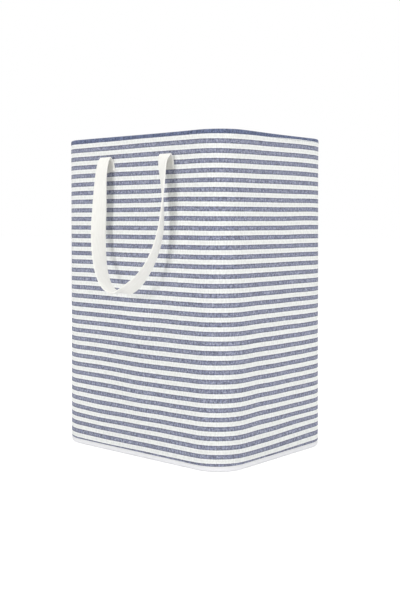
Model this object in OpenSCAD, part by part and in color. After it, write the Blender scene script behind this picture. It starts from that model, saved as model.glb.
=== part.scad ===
// Free-standing collapsible laundry hamper: a striped cloth bag with a wire in
// its rim, a board in its base, four pull-out corner rods and two long strap
// handles. Millimetres, +Z up, origin at the middle of the underside. The long
// side runs along X, and the handles hang on the two long faces.

/* [Bag] */
// Length of the bag over the cloth
bag_l = 420; // [340:5:500]
// Depth of the bag over the cloth
bag_w = 330; // [280:5:420]
// Height of the bag to the top of its rim
bag_h = 600; // [480:5:700]
// Radius of the four upright corners
corner_r = 60; // [50:1:90]

/* [Cloth] */
// Thickness of the striped outer cloth
cloth_t = 1.2; // [0.8:0.1:1.6]
// Thickness of the coated lining
lining_t = 0.6; // [0.4:0.1:1]
// Air between two layers of cloth
layer_gap = 0.1; // [0.05:0.05:0.2]
// Width of the tape that binds the upright seam
seam_w = 14; // [10:1:20]
// Thickness of the seam tape
seam_t = 0.8; // [0.5:0.1:1.2]

/* [Rim] */
// Height of the rolled hem round the mouth
hem_h = 9.2; // [8:0.2:16]
// Diameter of the steel wire in the hem
wire_d = 3.2; // [2.4:0.1:3.6]
// Clearance round the wire and its ferrule
wire_clear = 0.1; // [0.05:0.05:0.2]
// Gap between the two ends of the wire
wire_end_gap = 1; // [0.5:0.1:2]
// Length of the ferrule that joins the ends of the wire
ferrule_l = 18; // [12:1:30]
// Wall of the ferrule
ferrule_t = 0.5; // [0.3:0.1:0.6]

/* [Base] */
// Height of the base cloth's turned-up edge
base_edge_h = 8.3; // [7:0.1:14]
// Radius of the base cloth's lower edge
base_edge_r = 4; // [3:0.5:6]
// Thickness of the base board
board_t = 3; // [2:0.5:4]
// Gap between the base board and the rounded edge of the base cloth
board_gap = 1; // [0.5:0.5:3]

/* [Corner rods] */
// Outer diameter of a rod
rod_d = 8; // [6:0.5:10]
// Wall of a rod
rod_wall = 1; // [0.8:0.1:1.5]
// Depth of a rod's top below the rim
rod_drop = 15; // [12:1:22]
// Clearance round a rod in its sleeve and its tab
rod_clear = 0.6; // [0.4:0.1:1]
// Height of a plug's head beyond the end of the rod
plug_head = 3; // [2:0.5:5]
// Length of a plug's stem inside the rod
plug_stem = 12; // [8:1:20]
// Thickness of the sleeve tape
sleeve_t = 0.8; // [0.6:0.1:1.2]
// Depth of the sleeve's mouth below the rim
sleeve_drop = 60; // [56:1:90]
// Width of each sewn edge beside the sleeve
sleeve_edge = 10; // [8:1:14]

/* [Rod tabs] */
// Height of a tab
tab_h = 25; // [15:1:28]
// Thickness of a tab
tab_t = 1; // [0.8:0.1:1.4]
// Depth of a tab's upper edge below the rim
tab_drop = 25; // [23:1:28]
// Angle at the corner from the rod to the fold line of its tab
tab_fold_a = 18; // [17:0.5:20]
// Angle at the corner from the rod to the start of the pads
pad_start_a = 16; // [15:0.5:18]
// Angle at the corner that a pad or the sewn end of a tab covers
pad_a = 11; // [8:0.5:13]
// Thickness of a hook or loop pad
pad_t = 0.8; // [0.6:0.1:1]
// Running gap between a tab and what it closes on
tab_gap = 0.3; // [0.2:0.05:0.4]

/* [Handles] */
// Width of the handle strap
strap_w = 28; // [24:1:36]
// Thickness of the handle strap
strap_t = 2.6; // [2:0.1:3.2]
// Distance between the middles of a handle's two sewn ends
handle_span = 154; // [130:2:180]
// Offset of each handle from the middle of its face
handle_shift = 10; // [0:1:20]
// Depth below the rim at which a sewn end leaves the wall
sewn_drop = 50; // [46:1:70]
// Length of a sewn end that lies on the wall
sewn_l = 18; // [14:1:40]
// Radius of the fold over a sewn end, at the middle of the strap
fold_r = 8; // [7:0.5:12]
// Clearance across the crease of the fold
crease_gap = 0.3; // [0.2:0.1:0.5]
// Depth of the loop's lowest point below the fold
loop_drop = 240; // [200:5:300]
// Height of the rounded bottom of the loop
bow_h = 137; // [90:1:150]
// How much further from the wall the lowest point hangs
loop_lean = 35; // [25:1:45]

/* [Hidden] */
$fn = 64;

// Corners by the end of their node's name: the signs of X and Y there
CORNERS = [
    ["front_left", -1, -1], ["front_right", 1, -1],
    ["back_left", -1, 1], ["back_right", 1, 1]
];
// Handles by the end of their node's name: the turn about Z
HANDLES = [["front", 0], ["back", 180]];

// A cut reaches this far past the face that it opens
cut = 1;

// Layers of the wall, from the outer face inwards
lining_in = cloth_t + layer_gap;
wall_t = lining_in + lining_t;
inside_in = wall_t + layer_gap;

// The hem wraps the wire, flush with the outer face of the wall
wire_r = wire_d / 2;
hem_r = wire_r + wire_clear + cloth_t;
hem_bottom = bag_h - hem_h;
hem_fold_t = max(2 * cloth_t, wall_t);
ferrule_r = wire_r + wire_clear / 2 + ferrule_t;

// The base is the outer cloth, the board and the lining on it
board_z = cloth_t;
base_lining_z = board_z + board_t;
floor_z = base_lining_z + lining_t;
board_in = base_edge_r + board_gap;

// A rod stands on the base lining in a sleeve on the corner's lining, and
// clears the hem when it slides up
rod_r = rod_d / 2;
rod_top = bag_h - rod_drop;
inside_r = corner_r - inside_in;
channel_r = rod_r + rod_clear;
sleeve_r = channel_r + sleeve_t;
rod_at = corner_r - 2 * hem_r - rod_clear - rod_r;
sleeve_reach = inside_r - sleeve_t / 2 - rod_at;
sleeve_a = (sleeve_r + sleeve_edge) / inside_r * 180 / PI;
sleeve_top = bag_h - sleeve_drop;
plug_r = rod_r - rod_wall;

// A tab folds over its sewn end, passes in front of the rod and closes on a pad
tab_z = bag_h - tab_drop - tab_h;
tab_fold_r = inside_r - tab_t - tab_gap - tab_t / 2;
tab_fold = tab_fold_r * [cos(tab_fold_a), -sin(tab_fold_a)];
hook_r = inside_r - pad_t - tab_gap;
tab_end_r = hook_r - pad_t - tab_t / 2;

// The strap leaves the wall, folds over outwards and hangs in front of it
fold_z = bag_h - sewn_drop;
fold_d = strap_t / 2 + fold_r;
front_d = fold_d + fold_r;
bottom_z = fold_z - loop_drop;
bow_z = bottom_z + bow_h;
crease_a = crease_gap / 2 / fold_r * 180 / PI;
fold_steps = 6;
leg_steps = 12;
bow_steps = 14;

// Shapes that repeat

module rounded_rect(l, w, r) {
    square([l - 2 * r, w], center = true);
    square([l, w - 2 * r], center = true);
    for (sx = [-1, 1], sy = [-1, 1])
        translate([sx * (l / 2 - r), sy * (w / 2 - r)]) circle(r);
}

// The bag's plan, drawn in by a distance on every side
module plan(inset) {
    rounded_rect(bag_l - 2 * inset, bag_w - 2 * inset, corner_r - inset);
}

// An upright wall that follows the bag's plan between two insets
module wall(outer, inner, bottom, top) {
    translate([0, 0, bottom]) linear_extrude(top - bottom) difference() {
        plan(outer);
        plan(inner);
    }
}

// Sweeps a profile round the plan: its x is the distance in, its y the height
module round_plan() {
    side_l = bag_l - 2 * corner_r;
    side_w = bag_w - 2 * corner_r;
    for (turn = [0, 180]) rotate(turn) {
        translate([bag_l / 2, side_w / 2, 0]) rotate([90, 0, 0])
            linear_extrude(side_w) mirror([1, 0]) children();
        translate([-side_l / 2, bag_w / 2, 0]) rotate([90, 0, 90])
            linear_extrude(side_l) mirror([1, 0]) children();
        for (s = [-1, 1]) translate([side_l / 2, s * side_w / 2, 0])
            rotate(s > 0 ? 0 : -90) rotate_extrude(angle = 90)
                translate([corner_r, 0]) mirror([1, 0]) children();
    }
}

// A flat band on an arc round the corner's centre, between two angles
module arc_band(outer, inner, from, to) {
    reach = 2 * outer;
    intersection() {
        difference() {
            circle(outer);
            circle(inner);
        }
        polygon([
            [0, 0],
            reach * [cos(from), sin(from)],
            reach * [cos(to), sin(to)]
        ]);
    }
}

// Puts a piece at a corner's centre, with its x pointing out of the corner
module at_corner(c) {
    translate([c[1] * (bag_l / 2 - corner_r), c[2] * (bag_w / 2 - corner_r), 0])
        rotate(atan2(c[2], c[1])) children();
}

module on_rod() {
    translate([rod_at, 0, 0]) children();
}

// Shell

module outer_panel() {
    color([0.74, 0.76, 0.81]) wall(0, cloth_t, base_edge_h, hem_bottom);
}

module inner_lining() {
    color([0.93, 0.94, 0.95]) wall(lining_in, wall_t, floor_z, hem_bottom);
}

// Tape over the upright seam, inside the back face beside its left corner
module seam_binding() {
    color([0.9, 0.9, 0.9])
        translate([-bag_l / 2 + corner_r, bag_w / 2 - inside_in - seam_t, floor_z])
            cube([seam_w, seam_t, hem_bottom - floor_z]);
}

// Rim

module hem_profile() {
    difference() {
        union() {
            translate([0, hem_bottom]) square([hem_fold_t, hem_h - hem_r]);
            translate([hem_r, bag_h - hem_r]) circle(hem_r);
        }
        translate([hem_r, bag_h - hem_r]) circle(wire_r + wire_clear);
    }
}

// The wire's ends meet in the ferrule at the middle of the back face
module at_wire_ends(length) {
    translate([-length / 2, bag_w / 2 - hem_r, bag_h - hem_r])
        rotate([0, 90, 0]) children();
}

module rim_hem() {
    ferrule_room = ferrule_l + 2 * wire_clear;
    color([0.42, 0.45, 0.58]) difference() {
        round_plan() hem_profile();
        at_wire_ends(ferrule_room) cylinder(ferrule_room, r = ferrule_r + wire_clear);
    }
}

module rim_wire() {
    color([0.6, 0.62, 0.65]) difference() {
        round_plan() translate([hem_r, bag_h - hem_r]) circle(wire_r);
        at_wire_ends(wire_end_gap) cylinder(wire_end_gap, r = hem_r);
    }
}

module wire_ferrule() {
    color([0.7, 0.72, 0.75]) at_wire_ends(ferrule_l) difference() {
        cylinder(ferrule_l, r = ferrule_r);
        translate([0, 0, -cut]) cylinder(ferrule_l + 2 * cut, r = ferrule_r - ferrule_t);
    }
}

// Base

// Cross-section of the base cloth's edge: it turns up the wall on a radius
module base_edge_profile() {
    translate([0, base_edge_r]) square([cloth_t, base_edge_h - base_edge_r]);
    intersection() {
        translate([base_edge_r, base_edge_r]) difference() {
            circle(base_edge_r);
            circle(base_edge_r - cloth_t);
        }
        square(base_edge_r);
    }
}

module base_panel() {
    color([0.93, 0.93, 0.92]) {
        round_plan() base_edge_profile();
        linear_extrude(cloth_t) plan(base_edge_r);
    }
}

module base_board() {
    color([0.55, 0.55, 0.55]) translate([0, 0, board_z])
        linear_extrude(board_t) plan(board_in);
}

module base_lining() {
    color([0.9, 0.91, 0.92]) translate([0, 0, base_lining_z])
        linear_extrude(lining_t) plan(lining_in);
}

// Corner rods

// A channel round the rod, open at its back by a length
module rod_channel(r, back) {
    on_rod() {
        circle(r);
        translate([0, -r]) square([back, 2 * r]);
    }
}

module rod_sleeve() {
    color([0.88, 0.89, 0.9]) translate([0, 0, floor_z])
        linear_extrude(sleeve_top - floor_z) difference() {
            union() {
                arc_band(inside_r, inside_r - sleeve_t, -sleeve_a, sleeve_a);
                rod_channel(sleeve_r, sleeve_reach);
            }
            rod_channel(channel_r, sleeve_reach - sleeve_t);
        }
}

module support_rod() {
    rod_bottom = floor_z + plug_head;
    rod_l = rod_top - plug_head - rod_bottom;
    color([0.75, 0.76, 0.78]) on_rod() translate([0, 0, rod_bottom]) difference() {
        cylinder(rod_l, r = rod_r);
        translate([0, 0, -cut]) cylinder(rod_l + 2 * cut, r = plug_r);
    }
}

// A plug with a rounded head, drawn with its head up and its seat at zero
module rod_plug(edge_r) {
    rotate_extrude() {
        translate([0, -plug_stem]) square([plug_r, plug_stem + plug_head]);
        square([rod_r, plug_head - edge_r]);
        square([rod_r - edge_r, plug_head]);
        translate([rod_r - edge_r, plug_head - edge_r]) intersection() {
            circle(edge_r);
            square(edge_r);
        }
    }
}

module rod_cap() {
    color([0.2, 0.2, 0.21]) on_rod() translate([0, 0, rod_top - plug_head])
        rod_plug(plug_head / 2);
}

module rod_foot() {
    color([0.2, 0.2, 0.21]) on_rod() translate([0, 0, floor_z + plug_head])
        mirror([0, 0, 1]) rod_plug(plug_head / 6);
}

// Rod tabs

// A polygon of even thickness along a path, square to it at each point
module band_along(path, t) {
    last = len(path) - 1;
    offsets = [
        for (i = [0:last])
            let (run = path[min(i + 1, last)] - path[max(i - 1, 0)])
                t / 2 * [-run[1], run[0]] / norm(run)
    ];
    polygon(concat(
        [for (i = [0:last]) path[i] + offsets[i]],
        [for (i = [last:-1:0]) path[i] - offsets[i]]
    ));
}

// Angle, seen from the rod, at which a line from a point touches a circle
function touch_angle(p, r, side) =
    let (from_rod = p - [rod_at, 0])
        atan2(from_rod[1], from_rod[0]) + side * acos(r / norm(from_rod));

module tab_anchor() {
    color([0.9, 0.9, 0.9]) translate([0, 0, tab_z]) linear_extrude(tab_h)
        arc_band(inside_r, inside_r - tab_t, -tab_fold_a - pad_a, -tab_fold_a);
}

module rod_tab() {
    round_r = rod_r + rod_clear + tab_t / 2;
    pad_start = tab_end_r * [cos(pad_start_a), sin(pad_start_a)];
    first = touch_angle(tab_fold, round_r, -1) + 360;
    final = touch_angle(pad_start, round_r, 1);
    steps = 8;
    path = concat(
        [tab_fold],
        [
            for (i = [0:steps])
                let (a = first + (final - first) * i / steps)
                    [rod_at, 0] + round_r * [cos(a), sin(a)]
        ],
        [
            for (i = [0:steps])
                let (a = pad_start_a + pad_a * i / steps)
                    tab_end_r * [cos(a), sin(a)]
        ]
    );
    color([0.9, 0.9, 0.9]) translate([0, 0, tab_z])
        linear_extrude(tab_h) band_along(path, tab_t);
}

module hook_pad() {
    color([0.8, 0.8, 0.8]) translate([0, 0, tab_z]) linear_extrude(tab_h)
        arc_band(hook_r, hook_r - pad_t, pad_start_a, pad_start_a + pad_a);
}

module loop_pad() {
    color([0.85, 0.85, 0.85]) translate([0, 0, tab_z]) linear_extrude(tab_h)
        arc_band(inside_r, inside_r - pad_t, pad_start_a, pad_start_a + pad_a);
}

// Handles. A strap is worked out as x along the wall, d out from it, and z.

// Distance from the wall at a height on the hanging legs
function leg_d(z) = front_d + loop_lean * pow((fold_z - z) / loop_drop, 2);

// Middle line of half a strap, from the crease of its fold to the lowest point
half_line = concat(
    [
        for (i = [0:fold_steps])
            let (a = (90 - crease_a) * (1 - i / fold_steps))
                [-handle_span / 2, fold_d + fold_r * cos(a), fold_z + fold_r * sin(a)]
    ],
    [
        for (i = [1:leg_steps])
            let (z = fold_z - (fold_z - bow_z) * i / leg_steps)
                [-handle_span / 2, leg_d(z), z]
    ],
    [
        for (i = [1:bow_steps])
            let (a = 90 * i / bow_steps, z = bow_z - bow_h * sin(a))
                [-handle_span / 2 * cos(a), leg_d(z), z]
    ]
);
half_last = len(half_line) - 1;

function unit(v) = v / norm(v);
function mirrored(v) = [-v[0], v[1], v[2]];

// Length along the half strap from the foot of its fold, at each point
half_run = [
    for (i = 0, s = 0; i <= half_last;
        s = s + (i >= fold_steps && i < half_last ? norm(half_line[i + 1] - half_line[i]) : 0),
        i = i + 1) s
];

// The strap lies along the wall at its fold and turns square to it at the bottom
function twist(i) = 90 * sqrt(half_run[i] / half_run[half_last]);

function strap_ring(i) =
    let (
        here = half_line[i],
        before = half_line[max(i - 1, 0)],
        after = i < half_last ? half_line[i + 1] : mirrored(half_line[i - 1]),
        along = unit(after - before),
        inward = i <= fold_steps ? [1, 0, 0] : unit([-along[2], 0, along[0]]),
        turned = inward * cos(twist(i)) - [0, sin(twist(i)), 0],
        across = unit(turned - (turned * along) * along) * strap_w / 2,
        through = unit(cross(along, across)) * strap_t / 2
    )
        [here + across + through, here - across + through,
            here - across - through, here + across - through];

function strap_rings() =
    let (half = [for (i = [0:half_last]) strap_ring(i)])
        concat(half, [
            for (i = [half_last - 1:-1:0])
                [for (p = half[i]) mirrored(p)]
        ]);

// Puts points of a strap on the front face of the bag
function on_face(p) = [handle_shift + p[0], -bag_w / 2 - p[1], p[2]];

module handle_strap() {
    rings = strap_rings();
    last = len(rings) - 1;
    sides = [
        for (i = [0:last - 1], k = [0:3])
            let (a = 4 * i + k, b = 4 * i + (k + 1) % 4)
                each [[a, b, b + 4], [a, b + 4, a + 4]]
    ];
    ends = [
        [2, 1, 0], [3, 2, 0],
        4 * last * [1, 1, 1] + [0, 1, 2], 4 * last * [1, 1, 1] + [0, 2, 3]
    ];
    color([0.95, 0.94, 0.9])
        polyhedron([for (ring = rings, p = ring) on_face(p)], concat(sides, ends));
}

// The strap's two ends: sewn to the wall, then rising to the crease of the fold
module handle_ends() {
    fold_outer = fold_r + strap_t / 2;
    color([0.95, 0.94, 0.9]) for (s = [-1, 1])
        translate([handle_shift + s * handle_span / 2 - strap_w / 2, -bag_w / 2, 0])
            rotate([90, 0, 90]) linear_extrude(strap_w) mirror([1, 0]) {
                translate([0, fold_z - sewn_l]) square([strap_t, sewn_l]);
                translate([fold_d, fold_z])
                    arc_band(fold_outer, fold_outer - strap_t, 90 + crease_a, 180);
            }
}

outer_panel();
inner_lining();
seam_binding();
rim_hem();
rim_wire();
wire_ferrule();
base_panel();
base_board();
base_lining();
for (c = CORNERS) {
    at_corner(c) rod_sleeve();
    at_corner(c) support_rod();
    at_corner(c) rod_cap();
    at_corner(c) rod_foot();
    at_corner(c) tab_anchor();
    at_corner(c) rod_tab();
    at_corner(c) hook_pad();
    at_corner(c) loop_pad();
}
for (h = HANDLES) {
    rotate(h[1]) handle_ends();
    rotate(h[1]) handle_strap();
}
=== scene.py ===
"""Looks of the laundry hamper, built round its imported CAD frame.

Lengths are millimetres until a mesh is made from them.
"""

import math

import bmesh
import bpy
import numpy as np
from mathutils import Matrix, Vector, noise


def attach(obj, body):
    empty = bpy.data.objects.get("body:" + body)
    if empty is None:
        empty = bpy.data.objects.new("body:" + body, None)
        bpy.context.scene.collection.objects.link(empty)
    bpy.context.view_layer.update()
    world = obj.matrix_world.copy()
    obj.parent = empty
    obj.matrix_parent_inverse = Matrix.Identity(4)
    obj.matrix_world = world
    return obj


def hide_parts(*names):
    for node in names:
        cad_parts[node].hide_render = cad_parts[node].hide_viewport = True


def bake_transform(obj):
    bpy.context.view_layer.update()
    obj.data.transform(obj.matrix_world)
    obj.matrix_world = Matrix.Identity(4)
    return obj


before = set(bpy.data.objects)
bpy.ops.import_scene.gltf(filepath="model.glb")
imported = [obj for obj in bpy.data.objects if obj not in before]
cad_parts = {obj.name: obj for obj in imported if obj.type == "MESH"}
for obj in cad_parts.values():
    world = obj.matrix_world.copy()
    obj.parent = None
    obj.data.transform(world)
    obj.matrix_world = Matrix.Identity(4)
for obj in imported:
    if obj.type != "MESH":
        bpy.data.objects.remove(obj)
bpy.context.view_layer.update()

MM = 0.001
UP = np.array([0.0, 0.0, 1.0])

# Sizes that repeat those of the part
BAG_L, BAG_W, BAG_H, CORNER_R = 420.0, 330.0, 600.0, 60.0
CLOTH_T, LINING_IN, WALL_T, INSIDE_IN = 1.2, 1.3, 1.9, 2.0
INSIDE_R = CORNER_R - INSIDE_IN
HEM_R, HEM_BOTTOM = 2.9, 590.8
WIRE_R, WIRE_ROOM, WIRE_GAP = 1.6, 1.7, 1.0
FERRULE_L, FERRULE_R, FERRULE_BORE = 18.0, 2.15, 1.65
BASE_R, BASE_LINING_Z, FLOOR_Z = 4.0, 4.2, 4.8
ROD_R, ROD_CLEAR, ROD_AT = 4.0, 0.6, 49.6
CHANNEL_R, SLEEVE_T, SLEEVE_TOP, SLEEVE_EDGE = 4.6, 0.8, 540.0, 10.0
TAB_T, TAB_Z, TAB_H, TAB_FOLD_R, TAB_FOLD_A = 1.0, 550.0, 25.0, 56.2, 18.0
PAD_T, PAD_START_A, PAD_A = 0.8, 16.0, 11.0
HOOK_R, TAB_END_R = 56.9, 55.6
SEAM_X, SEAM_W, SEAM_T = -143.0, 14.0, 0.8
STRAP_W, STRAP_T, HALF_SPAN, SHIFT = 28.0, 2.6, 77.0, 10.0
SEWN_Z, FOLD_Z, FOLD_R = 532.0, 550.0, 8.0
FRONT_D = STRAP_T / 2 + 2 * FOLD_R

# Sizes that follow the photo and differ a little from the part's
BASE_TOP = 10.3
LOOP_DROP, BOW_H, LOOP_LEAN = 238.2, 135.3, 34.8

# The stripes: height of the middle of the top one, pitch, share that is blue
STRIPE_Z, STRIPE_PITCH, STRIPE_SHARE = 595.48, 16.73, 0.495

# Distance between the yarns of the striped cloth
YARN = 0.7

CORNERS = {
    "front_left": (-1, -1),
    "front_right": (1, -1),
    "back_left": (-1, 1),
    "back_right": (1, 1),
}
CORNER_ANGLES = {name: math.degrees(math.atan2(y, x)) for name, (x, y) in CORNERS.items()}

# Round the plan: the front face, a corner, the right face and so on
SIDE_X, SIDE_Y = BAG_L - 2 * CORNER_R, BAG_W - 2 * CORNER_R
ARC = CORNER_R * math.pi / 2
ROUND = 2 * (SIDE_X + SIDE_Y) + 4 * ARC
FACES = (
    (0.0, SIDE_X),
    (SIDE_X + ARC, SIDE_Y),
    (SIDE_X + SIDE_Y + 2 * ARC, SIDE_X),
    (2 * SIDE_X + SIDE_Y + 3 * ARC, SIDE_Y),
)
BACK_MIDDLE = FACES[2][0] + SIDE_X / 2
SEAM_S = BACK_MIDDLE - SEAM_X

# Curves and numbers


def ease(t):
    """0 below 0, 1 above 1 and a smooth way between."""
    t = np.clip(t, 0.0, 1.0)
    return t * t * (3 - 2 * t)


perlin = np.vectorize(lambda x, y, z: noise.noise((x, y, z)))


def unit(v):
    """Directions of length 1."""
    return v / np.maximum(np.linalg.norm(v, axis=-1, keepdims=True), 1e-12)


def turned(points, angle):
    """Plan points turned about the origin by an angle in degrees."""
    c, s = math.cos(math.radians(angle)), math.sin(math.radians(angle))
    return np.asarray(points, float) @ np.array([[c, s], [-s, c]])


def arc(radius, start, end, steps, centre=(0.0, 0.0)):
    """Points on a circle between two angles in degrees."""
    a = np.radians(np.linspace(start, end, steps + 1))
    return np.stack([np.cos(a), np.sin(a)], axis=1) * radius + centre


def lifted(plan, z=0.0):
    """Plan points with a height, or plan directions that stay level."""
    return np.concatenate([plan, np.broadcast_to(z, plan.shape[:-1])[..., None]], axis=-1)


def runs(line):
    """The length along a line at each of its points."""
    return np.concatenate([[0], np.cumsum(np.linalg.norm(np.diff(line, axis=0), axis=1))])


def picked(at, run, rows):
    """Rows read off between the points of a line, at lengths along it."""
    return np.stack([np.interp(at, run, column) for column in rows.T], axis=1)


def resampled(line, step):
    """The line again as a smooth curve, with points about a step apart."""
    line = np.asarray(line, float)
    padded = np.vstack([2 * line[0] - line[1], line, 2 * line[-1] - line[-2]])
    t = np.linspace(0, 1, 8, endpoint=False)[:, None]
    fine = [
        0.5 * (2 * b + (c - a) * t + (2 * a - 5 * b + 4 * c - d) * t**2
               + (3 * b - a - 3 * c + d) * t**3)
        for a, b, c, d in zip(padded[:-3], padded[1:-2], padded[2:-1], padded[3:])
    ]
    fine = np.vstack([*fine, line[-1]])
    run = runs(fine)
    return picked(np.linspace(0, run[-1], max(2, round(run[-1] / step) + 1)), run, fine)


# The bag's plan and the way its walls hang


def plan_at(s):
    """Points of the plan and the outward directions there, s along from the front's left end."""
    s = s % ROUND
    number = np.searchsorted([start for start, _ in FACES], s, side="right") - 1
    start, length = np.moveaxis(np.array(FACES)[number], -1, 0)
    along = np.minimum(s - start, length)
    turn = number * math.pi / 2 + (s - start - along) / CORNER_R
    centre = np.array([(-1, -1), (1, -1), (1, 1), (-1, 1)])[number] * [SIDE_X / 2, SIDE_Y / 2]
    ahead = np.array([(1, 0), (0, 1), (-1, 0), (0, -1)])[number]
    out = np.stack([np.sin(turn), -np.cos(turn)], axis=-1)
    return centre + ahead * along[..., None] + out * CORNER_R, out


# The closing seam outside: stops on both sides of it, how deep and how far up it dips, by how much
# the stripes miss each other there, and how far from it they still do
SEAM_STOPS, SEAM_CLEAR = (0.5, 1.1, 2.0, 3.5), 4.5
SEAM_DIP, SEAM_LOW, SEAM_HIGH = 0.55, 20.0, 588.0
SEAM_STEP, SEAM_REACH = 1.6, 45.0


def round_stops(step=6.0, arc_steps=22):
    """Distances round the plan from the seam, close together in corners and at the seam."""
    stops = []
    for start, length in FACES:
        count = round(length / step)
        stops += [start + length * i / count for i in range(count)]
        stops += [start + length + ARC * i / arc_steps for i in range(arc_steps)]
    near = [0.0, *SEAM_STOPS, *[ROUND - s for s in SEAM_STOPS]]
    from_seam = [(s - SEAM_S) % ROUND for s in stops]
    clear = [s for s in from_seam if SEAM_CLEAR < s < ROUND - SEAM_CLEAR]
    return np.array(sorted(near + clear))


STOPS = round_stops()

# The one wave up the middle of each face: its depth in front, right, back and left, and its phase
BELLIES, BELLY_PHASE = (-1.6, 1.4, -1.2, 1.8), 2.6

# How far from a corner, the base, the hem and a strap's sewn end a wall is held, the ends' height
HELD_SIDE, HELD_LOW, HELD_HIGH, HELD_END = 50, 60, 55, 34
END_Z = 543

# Slow swells and slanting drag lines: length, height and depth, and how steep the drag lines are
SWELL_L, SWELL_H, SWELL_DEPTH = 74, 210, 2.6
DRAG_L, DRAG_H, DRAG_DEPTH, DRAG_RISE = 36, 120, 0.9, 95


def sag(s, z):
    """How far a wall stands out, where it hangs slack between the rods, the rim and the base."""
    s = s % ROUND
    out = np.zeros(s.shape)
    for number, ((start, length), belly) in enumerate(zip(FACES, BELLIES)):
        on = (s > start) & (s < start + length)
        if not on.any():
            continue
        along, up = s[on] - start, z[on]
        held = ease(np.minimum(along, length - along) / HELD_SIDE)
        held *= ease((up - BASE_TOP) / HELD_LOW) * ease((HEM_BOTTOM - up) / HELD_HIGH)
        if length == SIDE_X:
            for x in (SHIFT - HALF_SPAN, SHIFT + HALF_SPAN):
                off = ((along - length / 2 - x) / HELD_END) ** 2 + ((up - END_Z) / HELD_END) ** 2
                held *= 1 - np.exp(-off * off)
        wave = np.sin(2 * math.pi * up / BAG_H + BELLY_PHASE)
        wave = belly * np.sin(math.pi * along / length) * wave
        slow = perlin(along / SWELL_L, up / SWELL_H, number * 7.3 + 0.5)
        drag = perlin(along / DRAG_L + up / DRAG_RISE, up / DRAG_H, number * 3.1 + 9.5)
        out[on] = held * (wave + slow * SWELL_DEPTH + drag * DRAG_DEPTH)
    return out


def apart(s, other):
    """The shorter way round the plan from one place to another, with its sign."""
    return (s - other + ROUND / 2) % ROUND - ROUND / 2


# Where the stripes slip in the photo: place round the plan, height, reach along and up, how far down
SLACK = (
    (205, 145, 95, 70, 2.4),
    (500, 170, 110, 60, 1.3),
    (20, 330, 70, 60, -1.3),
    (600, 450, 60, 50, -1.2),
    (265, 475, 45, 40, -1.4),
    (110, 530, 90, 35, -0.7),
    (560, 560, 120, 55, -2.5),
    (544, 600, 128, 19, -1.7),
    (220, 586, 108, 42, -1.5),
    (380, 554, 25, 60, 0.4),
    (60, 72, 60, 32, 1.8),
    (60, 10, 70, 18, 1.0),
    (347, 12, 60, 18, -1.2),
    (440, 36, 50, 24, 1.2),
    (600, 34, 50, 24, -1.8),
    (83, 75, 90, 50, 1.4),
    (568, 64, 49, 15, -1.4),
)
WAVER_L, WAVER_H, WAVER_DEPTH = 55, 60, 0.35


def slip(s, z):
    """How far the stripes lie below their true height, with a slight waver everywhere."""
    low = perlin(s / WAVER_L, z / WAVER_H, 8.2) * WAVER_DEPTH
    for there, level, along, up, most in SLACK:
        low = low + most * np.exp(-((apart(s, there) / along) ** 2) - ((z - level) / up) ** 2)
    return low


# How far the rim hangs down, and from which height up the wall sinks with it. Two opposite corners
# hold it up: their places, the shares they hold and how far round they reach
RIM_DROP, SINK_Z = 2.6, 440
HIGH_CORNERS = ((FACES[1][0] - 19, 0.54), (FACES[3][0] - ARC / 2, 0.5))
HIGH_REACH = 90


def lowered(s, z):
    """How far the wall has sunk at a height, most at the rim and not at all lower down."""
    held = sum(
        share * np.exp(-((apart(s, there) / HIGH_REACH) ** 2)) for there, share in HIGH_CORNERS
    )
    return RIM_DROP * (1 - held) * ease((z - SINK_Z) / (BAG_H - SINK_Z))


# The base is a little wider than the rim; the walls spread from just above the sleeves down
SPREAD, SPREAD_TOP = 0.0206, 545.0


def spread(z):
    """The share by which the plan has grown at a height."""
    return SPREAD * np.clip((SPREAD_TOP - z) / SPREAD_TOP, 0, 1)


def on_wall(s, z, inset):
    """Points at an inset behind the hanging wall, and the directions out of it."""
    s, z, inset = np.broadcast_arrays(*[np.asarray(v, float) for v in (s, z, inset)])
    plan, out = plan_at(s)
    plan = plan * (1 + spread(z))[..., None] + out * (sag(s, z) - inset)[..., None]
    return lifted(plan, z - lowered(s, z)), lifted(out)


# Meshes


def mesh_object(name, points, faces, uv=None, crease=40):
    """An object from points, faces and one UV pair for each corner of each face."""
    mesh = bpy.data.meshes.new(name)
    mesh.from_pydata((points * MM).tolist(), [], faces)
    if uv is not None:
        layer = mesh.uv_layers.new(name="cloth")
        layer.data.foreach_set("uv", (np.array(uv) * MM).astype(np.float32).ravel())
    shell = bmesh.new()
    shell.from_mesh(mesh)
    bmesh.ops.recalc_face_normals(shell, faces=shell.faces)
    shell.to_mesh(mesh)
    shell.free()
    mesh.polygons.foreach_set("use_smooth", [True] * len(mesh.polygons))
    mesh.set_sharp_from_angle(angle=math.radians(crease))
    obj = bpy.data.objects.new(name, mesh)
    bpy.context.scene.collection.objects.link(obj)
    return obj


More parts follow.
